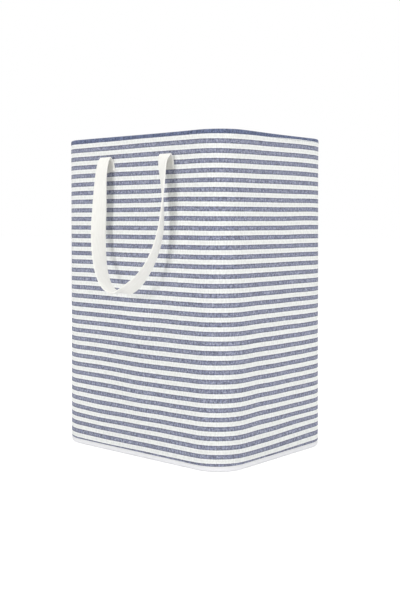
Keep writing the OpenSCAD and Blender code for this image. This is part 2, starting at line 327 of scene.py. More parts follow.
def loft(name, grid, uv, closed_rows=False, tip=None, poles=None):
    """A skin over rows of points, each row a closed ring.

    tip is the number of a point about which the outline is even; it closes the ends with strips.
    poles are two points; they close the ends with fans.
    """
    rows, cols = grid.shape[:2]
    points = grid.reshape(-1, 3)
    i = np.arange(rows if closed_rows else rows - 1)[:, None]
    j = np.arange(cols)[None, :]
    low, high = i * cols, (i + 1) % rows * cols
    ahead = (j + 1) % cols
    quads = np.stack([low + j, low + ahead, high + ahead, high + j], axis=-1)
    quad_uv = np.stack([uv[i, j], uv[i, j + 1], uv[i + 1, j + 1], uv[i + 1, j]], axis=-2)
    faces, corner_uv = quads.reshape(-1, 4).tolist(), quad_uv.reshape(-1, 2).tolist()
    if tip is not None:
        for row in (0, rows - 1):
            for k in range(cols // 2):
                strip = list(dict.fromkeys((tip + n) % cols for n in (k, k + 1, -k - 1, -k)))
                faces.append([row * cols + n for n in strip])
                corner_uv += uv[row, strip].tolist()
    if poles is not None:
        for row, pole in zip((0, rows - 1), poles):
            points = np.vstack([points, pole])
            for k in range(cols):
                faces.append([row * cols + k, row * cols + (k + 1) % cols, len(points) - 1])
                corner_uv += [uv[row, k], uv[row, k + 1], pole[:2]]
    return mesh_object(name, points, faces, corner_uv)


def round_bag(name, profile, heights):
    """A band swept round the bag: a closed profile of (inset, z) and a cloth height for each."""
    inset, z = np.asarray(profile, float).T
    grid, outs = on_wall((STOPS + SEAM_S)[None, :], z[:, None], inset[:, None])
    dips = (inset == 0) & (z > SEAM_LOW) & (z < SEAM_HIGH)
    dip = SEAM_DIP * np.exp(-np.minimum(STOPS, ROUND - STOPS) ** 2)
    grid = grid - outs * (dips[:, None] * dip[None, :])[..., None]
    across = np.append(STOPS, ROUND)
    rise = np.append(heights, heights[0])
    shift = slip(across[None, :] + SEAM_S, np.append(z, z[0])[:, None])
    beside = np.exp(-np.minimum(across, ROUND - across) / SEAM_REACH) * np.sign(ROUND / 2 - across)
    shift = shift + SEAM_STEP / 2 * beside[None, :]
    uv = np.stack([np.broadcast_to(across, shift.shape), rise[:, None] + shift], axis=-1)
    return loft(name, grid, uv, closed_rows=True)


def section(width, thickness, steps=10, edge_steps=6):
    """The outline of a strap, with round edges, as pairs (across, through)."""
    r = thickness / 2
    half = width / 2 - r
    edge = arc(r, -90, 90, edge_steps, (half, 0))
    flat = np.linspace(half, -half, steps + 1)[1:-1]
    flat = np.column_stack([flat, np.full(len(flat), r)])
    return np.vstack([edge, flat, -edge, -flat])


def swept(line, across, through, outline):
    """The outline set at each point of a line, on two directions there."""
    across, through = [np.broadcast_to(v, line.shape)[:, None] for v in (across, through)]
    return line[:, None] + across * outline[:, :1] + through * outline[:, 1:]


def ribbon(name, line, across, through, outline, reach=None):
    """A strap swept along a line; reach is each point's share in the walls' spread."""
    grid = swept(line, across, through, outline)
    if reach is not None:
        grid[..., :2] *= 1 + (reach[:, None] * spread(grid[..., 2]))[..., None]
    side, run = np.meshgrid(np.append(outline[:, 0], outline[0, 0]), runs(line))
    tip = int(np.argmax(outline[:, 0]))
    return loft(name, grid, np.stack([run, side], axis=-1), tip=tip)


def at_corner(corner, points, z):
    """Points of a corner's own plan, whose x points out of the corner, in the bag's frame."""
    sx, sy = CORNERS[corner]
    plan = turned(points, CORNER_ANGLES[corner]) + [sx * SIDE_X / 2, sy * SIDE_Y / 2]
    return lifted(plan, z)


def corner_in(corner, plan):
    """Directions into the bag from a corner's wall at points of its plan."""
    return lifted(turned(-unit(plan), CORNER_ANGLES[corner]))


def upright(name, corner, path, low, high, thickness, steps=10, offset=0.0, reach=None):
    """A band that stands on a corner's plan, along a path there between two heights."""
    along = unit(np.gradient(path, axis=0))
    side = np.column_stack([-along[:, 1], along[:, 0]])
    line = at_corner(corner, path + side * offset, (low + high) / 2)
    through = lifted(turned(side, CORNER_ANGLES[corner]))
    return ribbon(name, line, UP, through, section(high - low, thickness, steps, 4), reach)


def unit_stitch(sides=6):
    """The points of a stitch one unit long, wide and high, and its faces."""
    places = ((-0.42, 0.75, -0.05), (-0.2, 1.0, 0.12), (0.2, 1.0, 0.12), (0.42, 0.75, -0.05))
    turns = arc(0.5, 0, 360, sides)[:-1]
    points = [(x, size * c, lift + size * s) for x, size, lift in places for c, s in turns]
    points += [(-0.5, 0, -0.35), (0.5, 0, -0.35)]
    pairs = [(k, (k + 1) % sides) for k in range(sides)]
    rings = range(0, 3 * sides, sides)
    faces = [(r + a, r + b, r + b + sides, r + a + sides) for r in rings for a, b in pairs]
    for a, b in pairs:
        faces += [(4 * sides, a, b), (4 * sides + 1, 3 * sides + a, 3 * sides + b)]
    return np.array(points), faces


# Kinds of stitch: length, gap, width, height
TAPE_STITCH = (3.2, 0.7, 0.65, 0.5)
TAB_STITCH = (2.2, 0.6, 0.5, 0.4)
STRAP_STITCH = (2.3, 0.6, 0.7, 0.5)
HEM_STITCH = (3.0, 0.7, 0.6, 0.45)
BASE_STITCH = (3.4, 0.5, 0.5, 0.3)


def stitches(name, rows, kind):
    """Sewn thread: for each row a line of points and the directions out of the cloth."""
    length, gap, wide, high = kind
    shape, shape_faces = unit_stitch()
    points, faces, count = [], [], 0
    for line, outs in rows:
        run = runs(line)
        number = max(1, int(run[-1] / (length + gap)))
        pitch = run[-1] / number
        start = np.arange(number) * pitch + gap / 2
        first, last = picked(start, run, line), picked(start + pitch - gap, run, line)
        out = picked(start, run, outs)
        along = last - first
        side = unit(np.cross(out, along))
        middle = (first + last) / 2
        row = middle[:, None] + along[:, None] * shape[:, :1]
        row = row + side[:, None] * shape[:, 1:2] * wide + unit(out)[:, None] * shape[:, 2:] * high
        points.append(row.reshape(-1, 3))
        for _ in range(number):
            faces += [tuple(count + k for k in face) for face in shape_faces]
            count += len(shape)
    return mesh_object(name, np.vstack(points), faces, crease=80)


# Materials


def colour(red, green, blue):
    """A colour as it is seen, in steps of 255, as the light it gives back."""
    def linear(c):
        c /= 255
        return c / 12.92 if c <= 0.04045 else ((c + 0.055) / 1.055) ** 2.4
    return (linear(red), linear(green), linear(blue), 1.0)


class Tree:
    """The nodes of a material or a world."""

    def __init__(self, owner):
        owner.use_nodes = True
        self.nodes, self.links = owner.node_tree.nodes, owner.node_tree.links

    def set(self, socket, value):
        """Gives a socket a value, or joins it to another node's output."""
        if isinstance(value, bpy.types.NodeSocket):
            self.links.new(value, socket)
        else:
            socket.default_value = value

    def node(self, kind, inputs=(), **settings):
        """A new node with some of its settings and inputs."""
        made = self.nodes.new("ShaderNode" + kind)
        for key, value in settings.items():
            setattr(made, key, value)
        for key, value in dict(inputs).items():
            self.set(made.inputs[key], value)
        return made

    def math(self, operation, *values):
        return self.node("Math", enumerate(values), operation=operation).outputs[0]


class Shader(Tree):
    """A material with helpers for its pattern."""

    def __init__(self, name, rough, **sockets):
        self.material = bpy.data.materials.new(name)
        super().__init__(self.material)
        self.surface = self.nodes["Principled BSDF"]
        self.surface.inputs["Roughness"].default_value = rough
        for socket, value in sockets.items():
            self.surface.inputs[socket.replace("_", " ")].default_value = value

    def between(self, value, low, high, start=0.0, end=1.0):
        """A smooth step from start to end as the value goes from low to high."""
        inputs = {"Value": value, "From Min": low, "From Max": high, "To Min": start, "To Max": end}
        made = self.node("MapRange", inputs, interpolation_type="SMOOTHSTEP")
        return made.outputs["Result"]

    def mix(self, share, first, second):
        """A mix of two colours, each from another node or written in steps of 255."""
        made = self.node("Mix", {"Factor": share}, data_type="RGBA")
        for socket, value in zip([s for s in made.inputs if s.type == "RGBA"], (first, second)):
            self.set(socket, colour(*value) if isinstance(value, tuple) else value)
        return next(s for s in made.outputs if s.type == "RGBA")

    def dimmed(self, tint, share):
        """A colour times a number."""
        return self.node("VectorMath", {0: tint, "Scale": share}, operation="SCALE").outputs[0]

    def scaled(self, vector, x, y, z=1.0):
        return self.node("VectorMath", {0: vector, 1: (x, y, z)}, operation="MULTIPLY").outputs[0]

    def cloth(self):
        """The cloth's own coordinates, in millimetres."""
        return self.scaled(self.node("UVMap", uv_map="cloth").outputs[0], 1000.0, 1000.0)

    def place(self):
        """The place on the object, in millimetres."""
        return self.scaled(self.node("TexCoord").outputs["Object"], 1000.0, 1000.0, 1000.0)

    def noise(self, vector, detail=2.0, rough=0.5, scale=1.0):
        inputs = {"Vector": vector, "Scale": scale, "Detail": detail, "Roughness": rough}
        return self.node("TexNoise", inputs).outputs[0]

    def parts(self, vector):
        return tuple(self.node("SeparateXYZ", {0: vector}).outputs)

    def wave(self, value, pitch, shift=0.0):
        """A wave from 0 to 1 with a pitch, along a value."""
        turn = self.math("MULTIPLY_ADD", value, 2 * math.pi / pitch, shift)
        return self.math("MULTIPLY_ADD", self.math("SINE", turn), 0.5, 0.5)

    def crossings(self, u, v, pitch):
        """Where the yarns along u, and those along v, come to the top of a plain weave."""
        first = self.math("MULTIPLY", self.wave(u, pitch), self.wave(v, pitch, math.pi))
        second = self.math("MULTIPLY", self.wave(u, pitch, math.pi), self.wave(v, pitch))
        return first, second

    def weave(self, u, v, pitch):
        """The height of a plain weave: yarns over and under by turns."""
        return self.math("MAXIMUM", *self.crossings(u, v, pitch))

    def yarns(self, u, v, pitch):
        """The tone of each yarn along u and of each along v, which drifts along its length."""
        tones = []
        for run, side in ((u, v), (v, u)):
            number = self.math("FLOOR", self.math("DIVIDE", side, pitch))
            at = self.node("CombineXYZ", {0: self.math("MULTIPLY", run, 0.14),
                                          1: self.math("MULTIPLY", number, 2.37)})
            tones.append(self.noise(at.outputs[0]))
        return tones

    def finish(self, base, height, strength, depth, rough=None):
        """Gives the material its colour, its bumps and, where it varies, its roughness."""
        self.set(self.surface.inputs["Base Color"], base)
        if rough is not None:
            self.set(self.surface.inputs["Roughness"], rough)
        bump = self.node("Bump", {"Height": height, "Strength": strength, "Distance": depth})
        self.set(self.surface.inputs["Normal"], bump.outputs[0])
        return self.material


def striped_cloth():
    """Plain weave with heathered blue stripes on off-white, and a doubled hem whose deeper blue is
    painted shade.
    """
    m = Shader("striped_cloth", 0.92, Specular_IOR_Level=0.2, Sheen_Weight=0.12,
               Sheen_Roughness=0.6)
    at = m.cloth()
    u, v, _ = m.parts(at)
    wobble = m.noise(m.scaled(at, 0.45, 1.1))
    edge = m.math("MULTIPLY_ADD", m.math("SUBTRACT", wobble, 0.5), 1.1, v)
    # 0 in the middle of a blue stripe, 1 in the middle of a white one
    turn = m.math("MULTIPLY_ADD", edge, 1 / STRIPE_PITCH, 0.5 - STRIPE_Z / STRIPE_PITCH)
    off = m.math("ABSOLUTE", m.math("SUBTRACT", m.math("FRACT", turn), 0.5))
    off = m.math("MULTIPLY", off, 2.0)
    white = m.between(off, STRIPE_SHARE - 0.03, STRIPE_SHARE + 0.03)
    top = STRIPE_Z - STRIPE_PITCH * STRIPE_SHARE / 2
    hem = m.between(edge, top - 0.2, top + 0.2)
    white = m.math("MULTIPLY", white, m.math("SUBTRACT", 1.0, hem))
    slub = m.noise(m.scaled(at, 0.26, 0.62), 3.0, 0.62)
    fleck = m.between(m.noise(m.scaled(at, 0.4, 0.13), 2.0, 0.6), 0.36, 0.64)
    # Yarns that take turns on top
    weft, warp = m.yarns(u, v, YARN)
    under, over = m.crossings(u, v, 2 * YARN)
    top_yarn = m.between(m.math("SUBTRACT", over, under), -0.25, 0.25)
    height = m.math("MAXIMUM", under, over)
    # Blue: dyed yarns crossed by plainer ones, darker along a stripe's edges, deeper on the hem as
    # painted shade
    heather = m.math("MULTIPLY_ADD", slub, 0.5, m.math("MULTIPLY", weft, 0.5))
    heather = m.between(heather, 0.4, 0.62)
    dyed = m.mix(heather, (80, 87, 121), (166, 170, 190))
    plain = m.mix(m.between(warp, 0.35, 0.65), (148, 152, 175), (192, 195, 206))
    blue = m.mix(m.math("MULTIPLY", top_yarn, 0.75), dyed, plain)
    border = m.between(off, STRIPE_SHARE - 0.3, STRIPE_SHARE - 0.02, 0.0, 0.72)
    blue = m.mix(border, blue, (86, 92, 116))
    # The hem's deeper blue is painted shade: two layers of cloth let less light through than one
    shaded_hem_blue = m.mix(heather, (69, 80, 114), (123, 133, 162))
    blue = m.mix(hem, blue, m.mix(m.math("MULTIPLY", top_yarn, 0.3), shaded_hem_blue, (127, 137, 165)))
    blue = m.dimmed(blue, m.math("MULTIPLY_ADD", fleck, 0.55, 0.635))
    # White: brightest beside the blue; painted shade darkens a stripe's middle, most in the weave's
    # hollows
    bright = m.mix(m.between(weft, 0.3, 0.7), (240, 242, 240), (248, 249, 248))
    middle = m.between(off, 0.62, 0.9, 0.0, 0.4)
    cream = m.mix(middle, bright, m.mix(height, (224, 225, 218), (239, 240, 235)))
    cream = m.dimmed(cream, m.math("MULTIPLY_ADD", fleck, 0.12, 0.94))
    relief = m.math("MULTIPLY_ADD", height, 0.7, m.math("MULTIPLY", slub, 0.5))
    return m.finish(m.mix(white, blue, cream), relief, 0.35, 0.00025)


def coated_lining():
    """White cloth with a smooth waterproof coat, its weave just showing through."""
    m = Shader("coated_lining", 0.5, Specular_IOR_Level=0.4)
    at = m.cloth()
    u, v, _ = m.parts(at)
    crush = m.noise(m.scaled(at, 0.035, 0.022), 4.0, 0.55)
    grain = m.weave(u, v, 1.4)
    base = m.mix(m.between(crush, 0.3, 0.7), (232, 234, 236), (241, 242, 243))
    height = m.math("MULTIPLY_ADD", crush, 5.0, m.math("MULTIPLY", grain, 0.25))
    rough = m.between(crush, 0.3, 0.7, 0.42, 0.58)
    return m.finish(base, height, 0.35, 0.0005, rough)


def base_cloth():
    """White coated plain weave, darker in patches within 4 mm of the floor."""
    m = Shader("base_cloth", 0.8, Specular_IOR_Level=0.3)
    at = m.place()
    x, y, z = m.parts(at)
    # Patches that darken the cloth within 4 mm of the floor
    blotch = m.noise(at, 4.0, 0.6, 0.02)
    low = m.between(z, 0.0, 4.0, 0.3, 0.0)
    dull = m.math("MULTIPLY", m.between(blotch, 0.35, 0.75), low)
    grain = m.weave(m.math("ADD", x, z), m.math("ADD", y, z), 1.2)
    tone = m.noise(at, scale=0.4)
    fresh = m.mix(tone, (240, 240, 242), (246, 246, 248))
    return m.finish(m.mix(dull, fresh, (222, 220, 214)), grain, 0.3, 0.0003)


def woven_tape():
    """White tape with a fine twill across it."""
    m = Shader("tape", 0.85, Specular_IOR_Level=0.25, Sheen_Weight=0.1)
    at = m.cloth()
    u, v, _ = m.parts(at)
    rib = m.wave(m.math("ADD", u, v), 1.0)
    cross = m.wave(m.math("SUBTRACT", u, v), 1.0)
    height = m.math("MULTIPLY_ADD", rib, 0.7, m.math("MULTIPLY", cross, 0.3))
    tone = m.between(m.noise(m.scaled(at, 0.2, 0.5), 3.0), 0.3, 0.7)
    return m.finish(m.mix(tone, (232, 232, 229), (242, 242, 240)), height, 0.45, 0.0003)


def webbing():
    """Heavy ivory cotton webbing: close ribs across it and a firm edge."""
    m = Shader("webbing", 0.9, Specular_IOR_Level=0.2, Sheen_Weight=0.15, Sheen_Roughness=0.6)
    at = m.cloth()
    run, side, _ = m.parts(at)
    bend = m.noise(m.scaled(at, 0.08, 0.3))
    rib = m.wave(m.math("MULTIPLY_ADD", bend, 1.2, run), 1.5)
    end = m.wave(side, 1.1)
    edge = m.between(m.math("ABSOLUTE", side), STRAP_W / 2 - 2.2, STRAP_W / 2 - 1.6)
    fine = m.math("MULTIPLY", rib, m.math("MULTIPLY_ADD", end, 0.6, 0.4))
    height = m.math("MAXIMUM", fine, m.math("MULTIPLY", edge, 0.8))
    tone = m.noise(m.scaled(at, 0.06, 0.35), 4.0, 0.6)
    base = m.mix(m.between(tone, 0.3, 0.7), (243, 242, 236), (248, 247, 242))
    # Painted shade in the grooves between the ribs
    gap = m.math("MULTIPLY", m.math("SUBTRACT", 1.0, rib), 0.06)
    return m.finish(m.mix(gap, base, (232, 229, 219)), height, 0.28, 0.0003)


def fastener(name, base_first, base_second, pitch, depth):
    """Hook or loop tape: a bed of small tufts, with painted shade between them."""
    m = Shader(name, 0.9, Specular_IOR_Level=0.2, Sheen_Weight=0.2)
    at = m.cloth()
    tufts = m.node("TexVoronoi", {"Vector": at, "Scale": 1 / pitch}, voronoi_dimensions="2D")
    near = m.between(tufts.outputs["Distance"], 0.1, 0.6)
    fuzz = m.noise(at, 3.0, scale=3.0)
    height = m.math("SUBTRACT", m.math("MULTIPLY", fuzz, 0.5), near)
    # Painted shade: the first colour between the tufts, the second on them
    return m.finish(m.mix(near, base_second, base_first), height, 0.8, depth)


def thread(name, shade, light):
    """Spun thread."""
    m = Shader(name, 0.75, Specular_IOR_Level=0.3, Sheen_Weight=0.1)
    at = m.place()
    x, y, z = m.parts(at)
    twist = m.wave(m.math("ADD", m.math("ADD", x, y), m.math("MULTIPLY", z, 1.7)), 0.7)
    tone = m.noise(at, scale=0.4)
    return m.finish(m.mix(tone, shade, light), twist, 0.4, 0.0001)


def drawn_metal(name, first, second, rough):
    """Drawn metal: bright, with fine streaks along its length."""
    m = Shader(name, rough, Metallic=1.0)
    at = m.place()
    streak = m.noise(m.scaled(at, 1.6, 1.6, 0.02), 4.0, 0.6)
    dull = m.noise(m.scaled(at, 0.05, 0.05, 0.012), 3.0)
    base = m.mix(m.between(streak, 0.3, 0.7), first, second)
    rub = m.math("MULTIPLY_ADD", dull, 0.2, rough - 0.1)
    return m.finish(base, streak, 0.15, 0.0001, rub)


def moulded(name, first, second, rough, grain):
    """Moulded plastic with a fine matt grain."""
    m = Shader(name, rough, Specular_IOR_Level=0.45)
    at = m.place()
    spark = m.noise(at, 3.0, 0.6, 1 / grain)
    cloud = m.noise(at, 3.0, scale=0.03)
    base = m.mix(cloud, first, second)
    return m.finish(base, spark, 0.25, 0.0002, m.math("MULTIPLY_ADD", spark, 0.2, rough - 0.1))


STRIPED = striped_cloth()
LINING = coated_lining()
BASE = base_cloth()
TAPE = woven_tape()
WEBBING = webbing()
HOOK = fastener("hook_tape", (222, 222, 218), (240, 240, 237), 0.9, 0.0006)
LOOP = fastener("loop_tape", (226, 226, 222), (243, 243, 240), 0.5, 0.0004)
WHITE_THREAD = thread("white_thread", (236, 235, 230), (247, 246, 243))
BLUE_THREAD = thread("blue_thread", (78, 84, 112), (112, 118, 146))
STEEL = drawn_metal("spring_steel", (150, 153, 158), (186, 188, 192), 0.35)
TUBE = drawn_metal("rod_tube", (196, 198, 201), (222, 223, 226), 0.3)
PLUG = moulded("plug", (38, 38, 40), (52, 52, 54), 0.5, 0.6)
BOARD = moulded("board", (150, 150, 147), (168, 168, 165), 0.6, 1.5)


def add(obj, material, slot, body, *nodes):
    """Gives a piece its material, sets it on a body, and lets it stand for nodes; slot is not used.
    """
    obj.data.materials.append(material)
    if body is not None:
        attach(obj, body)
    if nodes:
        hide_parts(*nodes)
    return obj


# The shell


# The hem's end inside the bag: insets, and heights above its lower edge
HEM_END = ((3.0, 3.0), (2.55, 2.3), (2.42, 1.4), (2.4, 0.4), (2.15, 0.0), (1.45, 0.0), (1.26, 0.4),
           (1.24, 1.4), (1.36, 2.55), (2.05, 3.7))


def wrap_profile():
    """Striped cloth from the base seam up the wall, over the wire and down inside."""
    rows = [(0.95, BASE_TOP), (0.45, BASE_TOP + 0.4), (0.12, BASE_TOP + 1.3)]
    rows += [(0.0, z) for z in np.linspace(BASE_TOP + 3, BAG_H - HEM_R - 1, 98)]
    heights = [z for _, z in rows]
    level = BAG_H - HEM_R
    for a in np.radians(np.linspace(0, 250, 24)):
        rows.append((HEM_R - HEM_R * math.cos(a), level + HEM_R * math.sin(a)))
        heights.append(level + HEM_R * a)
    rows += [(inset, HEM_BOTTOM + up) for inset, up in HEM_END]
    for a in np.radians(np.linspace(250, 0, 20)):
        rows.append((HEM_R - WIRE_ROOM * math.cos(a), level + WIRE_ROOM * math.sin(a)))
    rows += [(CLOTH_T, z) for z in np.linspace(level - 2, BASE_TOP, 40)]
    heights += [heights[-1] + 0.5 * k for k in range(1, len(rows) - len(heights) + 1)]
    return rows, heights


rows, heights = wrap_profile()
wrap = round_bag("striped_wrap", rows, heights)
add(wrap, STRIPED, "striped_cloth", "bag", "outer_panel", "rim_hem")

inner = [(WALL_T, z) for z in np.linspace(FLOOR_Z + 0.1, HEM_BOTTOM - 0.1, 90)]
outer = [(LINING_IN, z) for z in np.linspace(HEM_BOTTOM - 0.1, FLOOR_Z + 0.1, 40)]
lining = round_bag("wall_lining", inner + outer, [z for _, z in inner + outer])
add(lining, LINING, "coated_lining", "bag", "inner_lining")


def ring(inset):
    """The bag's plan at the floor, drawn in by an inset."""
    return on_wall(STOPS + SEAM_S, 0.0, inset)[0][:, :2]


# The sizes of the rings inside a pad's edge, as shares of that edge
RING_SHARES = (0.05, 0.2, 0.35, 0.5, 0.65, 0.8, 0.92)


def disc(name, edge, low_z, high_z, inset, dent):
    """A closed pad with the bag's plan: rings out to its edge, down that and back underneath."""
    rows = [lifted(ring(inset) * share, high_z) for share in RING_SHARES]
    rows += [lifted(ring(i), z) for i, z in edge]
    for share in RING_SHARES[::-1]:
        plan = ring(inset) * share
        lift = np.abs(perlin(plan[:, 0] / 60, plan[:, 1] / 60, 4.4)) * dent
        rows.append(lifted(plan, low_z + lift))
    grid = np.array(rows)
    flat = np.concatenate([grid[:, :, :2], grid[:, :1, :2]], axis=1)
    poles = ((0.0, 0.0, high_z), (0.0, 0.0, low_z + dent * 0.3))
    return loft(name, grid, flat, poles=poles)


def base_bend(radius, angles):
    """The bend from the floor up into the base's turned-up edge."""
    return [(BASE_R - radius * math.cos(a), BASE_R - radius * math.sin(a)) for a in angles]


# How far in from the bag's outside the flat middles of the two floor pieces end
PAN_IN, FLOOR_IN = 12.0, 4.0

bend = np.radians(np.linspace(0, 90, 8))
edge = [(PAN_IN, CLOTH_T), *base_bend(BASE_R - CLOTH_T, bend[::-1])]
edge += [(CLOTH_T, 6.0), (CLOTH_T, BASE_TOP - 0.1), (0.95, BASE_TOP - 0.05), (0.4, BASE_TOP - 0.3)]
edge += [(0.08, 7.2), (0.0, 5.6), *base_bend(BASE_R, bend), (8.0, 0.0), (PAN_IN, 0.0)]
pan = disc("base_cloth", edge, 0.0, CLOTH_T, PAN_IN, 0.5)
add(pan, BASE, "base_cloth", "bag", "base_panel")

edge = [(FLOOR_IN, FLOOR_Z), (LINING_IN + 0.3, FLOOR_Z - 0.05), (LINING_IN + 0.05, FLOOR_Z - 0.3)]
edge += [(LINING_IN + 0.3, BASE_LINING_Z + 0.05), (FLOOR_IN, BASE_LINING_Z + 0.02)]
floor_cloth = disc("floor_lining", edge, BASE_LINING_Z + 0.02, FLOOR_Z, FLOOR_IN, 0.0)
add(floor_cloth, LINING, "coated_lining", "bag", "base_lining")

# Tape over the closing seam, inside

seam_z = np.linspace(FLOOR_Z + 0.2, HEM_BOTTOM - 0.3, 90)
line, outs = on_wall(SEAM_S, seam_z, INSIDE_IN + SEAM_T / 2)
tape = ribbon("seam_tape", line, (-1, 0, 0), -outs, section(SEAM_W, SEAM_T, 6, 4))
add(tape, TAPE, "tape", "bag", "seam_binding")

# Sleeves in the corners


def sleeve_path():
    """A sleeve's tape in plan: a sewn edge, then out and round the rod to the other edge."""
    middle = CHANNEL_R + SLEEVE_T / 2
    wall = INSIDE_R - SLEEVE_T / 2
    reach = math.degrees((CHANNEL_R + SLEEVE_T + SLEEVE_EDGE) / INSIDE_R)
    sewn = arc(wall, -reach, -8.6, 6)
    turn = [(56.6, -7.1), (55.7, -5.9), (54.4, -middle - 0.1), (52.0, -middle)]
    half_round = arc(middle, -90, -180, 10, (ROD_AT, 0))
    half = np.vstack([sewn, turn, half_round])
    return np.vstack([half, (half * [1, -1])[::-1][1:]])


# The path, how much each point of it spreads with the wall, the angle at which it is sewn, and the
# hem of its mouth: heights, thickness and how far it stands off
SLEEVE_PATH = resampled(sleeve_path(), 0.8)
SLEEVE_REACH = ease((SLEEVE_PATH[:, 0] - ROD_AT) / (INSIDE_R - SLEEVE_T / 2 - ROD_AT - 1.2))
SLEEVE_SEWN_A = 12.6
MOUTH_LOW, MOUTH_HIGH, MOUTH_T, MOUTH_OFF = SLEEVE_TOP - 9, SLEEVE_TOP + 0.6, 0.7, 0.65

sewn_rows = []
for corner in CORNERS:
    sleeve = upright("sleeve_" + corner, corner, SLEEVE_PATH, FLOOR_Z + 0.2, SLEEVE_TOP, SLEEVE_T,
                     60, reach=SLEEVE_REACH)
    add(sleeve, TAPE, "tape", "bag", "rod_sleeve_" + corner)
    mouth = upright("sleeve_mouth_" + corner, corner, SLEEVE_PATH[6:-6], MOUTH_LOW, MOUTH_HIGH,
                    MOUTH_T, 6, MOUTH_OFF)
    add(mouth, TAPE, "tape", "bag")
    for a in (-SLEEVE_SEWN_A, SLEEVE_SEWN_A):
        z = np.linspace(FLOOR_Z + 3, SLEEVE_TOP - 3, 120)
        plan = np.repeat(arc(INSIDE_R - SLEEVE_T, a, a, 0), len(z), axis=0)
        line = at_corner(corner, plan, z)
        line[:, :2] *= 1 + spread(z)[:, None]
        sewn_rows.append((line, corner_in(corner, plan)))
for shift in (-SEAM_W / 2 + 2, SEAM_W / 2 - 2):
    line, outs = on_wall(SEAM_S + shift, seam_z, INSIDE_IN + SEAM_T)
    sewn_rows.append((line, -outs))
add(stitches("stitches_inside", sewn_rows, TAPE_STITCH), WHITE_THREAD, "tape", "bag")

# Tabs with their sewn ends, and the pads they close on


def tab_path():
    """A tab in a corner's plan: sewn end, fold, round the front of the rod, pad."""
    rod = np.array([ROD_AT, 0.0])
    clear = ROD_R + ROD_CLEAR + TAB_T / 2
    fold = arc(TAB_FOLD_R, -TAB_FOLD_A, -TAB_FOLD_A, 0)[0]
    pad = arc(TAB_END_R, PAD_START_A, PAD_START_A + PAD_A, 8)

    def touch(p, side):
        away = p - rod
        opening = math.degrees(math.acos(clear / np.linalg.norm(away)))
        return math.degrees(math.atan2(away[1], away[0])) + side * opening

    sewn = arc(INSIDE_R - TAB_T / 2, -TAB_FOLD_A - PAD_A, -TAB_FOLD_A - 1.8, 6)
    front = arc(clear, touch(fold, -1) + 360, touch(pad[0], 1), 10, rod)
    return np.vstack([sewn, fold, front, pad])


TAB_PATH = resampled(tab_path(), 0.7)

pad_a = (PAD_START_A, PAD_START_A + PAD_A)
for corner in CORNERS:
    tab = upright("tab_strip_" + corner, corner, TAB_PATH, TAB_Z, TAB_Z + TAB_H, TAB_T, 8)
    add(tab, TAPE, "tape", None, "rod_tab_" + corner, "tab_anchor_" + corner)
    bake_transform(tab)
    hook = upright("hook_" + corner, corner, arc(HOOK_R - PAD_T / 2, *pad_a, 10), TAB_Z + 0.6,
                   TAB_Z + TAB_H - 0.6, PAD_T, 8)
    add(hook, HOOK, "hook_tape", "tab_" + corner, "hook_pad_" + corner)
    loop = upright("loop_" + corner, corner, arc(INSIDE_R - PAD_T / 2, *pad_a, 10), TAB_Z,
                   TAB_Z + TAB_H, PAD_T, 8)
    add(loop, LOOP, "loop_tape", "bag", "loop_pad_" + corner)


def tab_rows(corner, radius, first, last, inset=1.8):
    """Four rows of stitching round a patch on a corner's arc."""
    low, high = TAB_Z + inset, TAB_Z + TAB_H - inset
    step = math.degrees(inset / radius)
    plan = arc(radius, first + step, last - step, 12)
    rows = [(at_corner(corner, plan, z), corner_in(corner, plan)) for z in (low, high)]
    z = np.linspace(low, high, 12)
    for end in (plan[:1], plan[-1:]):
        side = np.repeat(end, len(z), axis=0)
        rows.append((at_corner(corner, side, z), corner_in(corner, side)))
    return rows


for corner in CORNERS:
    rows = tab_rows(corner, TAB_END_R - TAB_T / 2, *pad_a)
    sewing = stitches("stitches_tab_" + corner, rows, TAB_STITCH)
    add(sewing, WHITE_THREAD, "tape", "tab_" + corner)
    rows = tab_rows(corner, INSIDE_R - TAB_T, -TAB_FOLD_A - PAD_A, -TAB_FOLD_A - 2)
    sewing = stitches("stitches_anchor_" + corner, rows, TAB_STITCH)
    add(sewing, WHITE_THREAD, "tape", "bag")

# Handle straps

# The fold at a strap's end, as distances out from the wall and heights: up the wall, over, down
RISE = ((STRAP_T / 2, SEWN_Z), (STRAP_T / 2, SEWN_Z + 9), (2.2, FOLD_Z - 3), (4.2, FOLD_Z + 3),
        (6.3, FOLD_Z + 7.2), (7.9, FOLD_Z + 8.4), (9.6, FOLD_Z + 6.8))
CREST = max(z for _, z in RISE)

# Below the fold a leg springs out to its flare and off the wall within a short height
SPRING_H, SPRING_POWER, SPRING_OUT = 31.6, 1.5, 2.5

# How the lean grows downwards, and the height in which the pinched fold lets go of the leg
LEAN_POWER, PINCH_H = 2.75, 9.5

# The twist starts above the foot of the fold and eases in down to it; its curl sits low on the leg
TWIST_LEAD, TWIST_EASE, CURL_POWER = 13.8, 14, 6

# How far out from the wall a sewn end's slant is lost, and where a raised strap bends
SLANT_OUT, STRAP_BEND = 6, (3.0, 9.4)

# Each strap: the face's turn, the twist, and for its two legs the twist's power, the curl in it,
# the flare and the slant of the sewn end
STRAPS = {
    "front": (np.array([1.0, 1.0, 1.0]), 1.6, (1.69, 0.0, 2.8, 0.2), (0.81, 0.46, 5.5, -0.03)),
    "back": (np.array([-1.0, -1.0, 1.0]), 1.62, (1.2, 0.2, 3.6, 0.05), (1.35, 0.05, 3.2, 0.1)),
}


